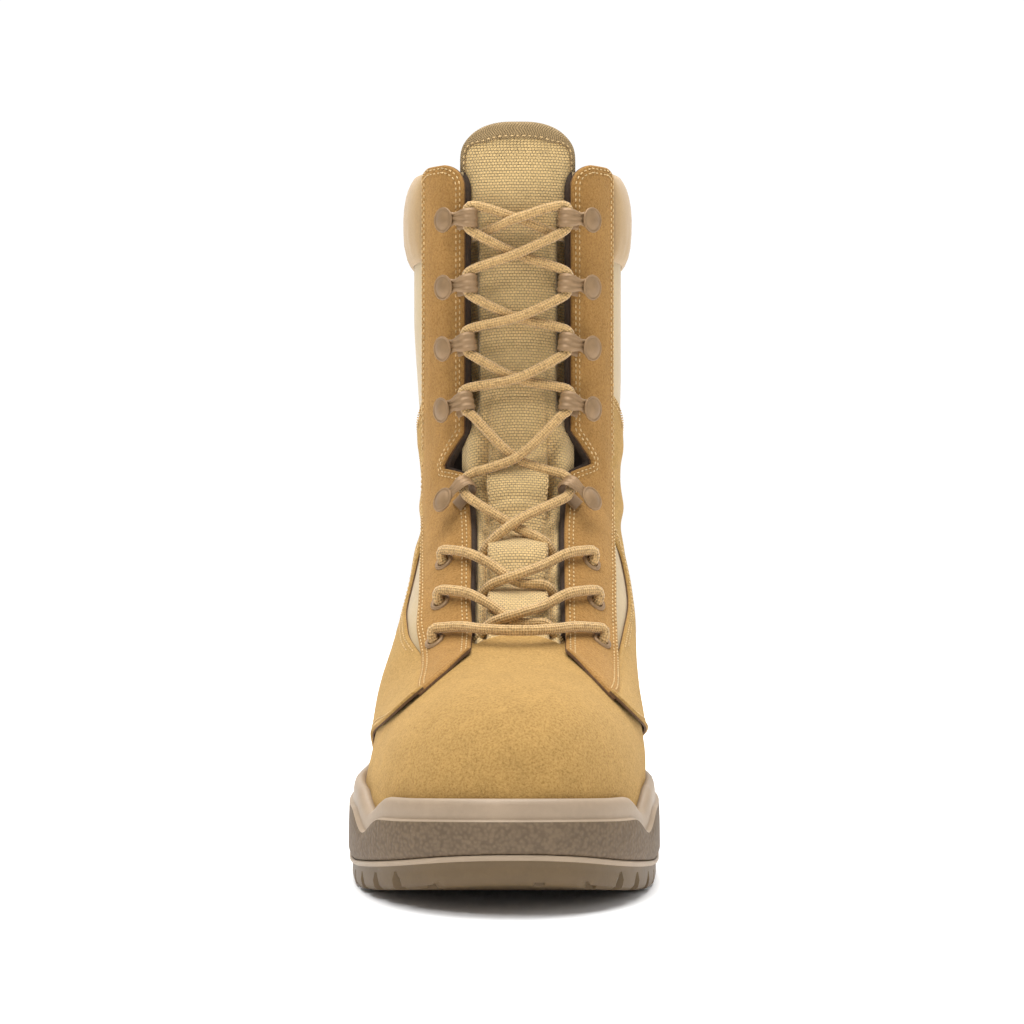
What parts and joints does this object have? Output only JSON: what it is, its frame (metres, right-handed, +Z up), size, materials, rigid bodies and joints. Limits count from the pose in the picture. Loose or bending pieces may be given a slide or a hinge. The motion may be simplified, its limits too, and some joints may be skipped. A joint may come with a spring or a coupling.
{
  "type": "combat boot",
  "caption": "Laced desert combat boot for the right foot, in sand suede and woven nylon, with speed hooks over eyelets and a lugged sole.",
  "frame": {"origin": "middle of the footprint, on the floor that the sole stands on", "axes": "+Z up, -Y towards the toe, +X towards the inner side of this right boot"},
  "size_m": [0.1126, 0.3086, 0.2812],
  "materials": {
    "suede": "brushed rough-out suede, sand coloured",
    "nylon_weave": "coarse woven nylon",
    "padding": "smooth coated fabric over padding",
    "binding_tape": "herringbone tape",
    "lace_braid": "braided polyester",
    "lining": "matt lining cloth",
    "midsole_foam": "moulded polyurethane, pebbled with a smooth lip",
    "tread_rubber": "matt rubber",
    "hardware": "satin paint"
  },
  "bodies": {
    "root": {"outsole": "tread_rubber", "midsole": "midsole_foam", "insole": "lining", "upper": "suede", "lace_stay_lateral": "suede", "lace_stay_medial": "suede", "quarter_lateral": "suede", "quarter_medial": "suede", "heel_counter": "suede", "collar": "padding", "tongue": "nylon_weave", "tongue_binding": "binding_tape", "eyelet_lateral_1": "hardware", "eyelet_medial_1": "hardware", "eyelet_lateral_2": "hardware", "eyelet_medial_2": "hardware", "eyelet_lateral_3": "hardware", "eyelet_medial_3": "hardware", "hook_lateral_1": "hardware", "hook_medial_1": "hardware", "hook_lateral_2": "hardware", "hook_medial_2": "hardware", "hook_lateral_3": "hardware", "hook_medial_3": "hardware", "hook_lateral_4": "hardware", "hook_medial_4": "hardware", "hook_lateral_5": "hardware", "hook_medial_5": "hardware", "lace_bar": "lace_braid", "lace_cross_1": "lace_braid", "lace_cross_2": "lace_braid", "lace_hooked": "lace_braid"}
  },
  "joints": []
}
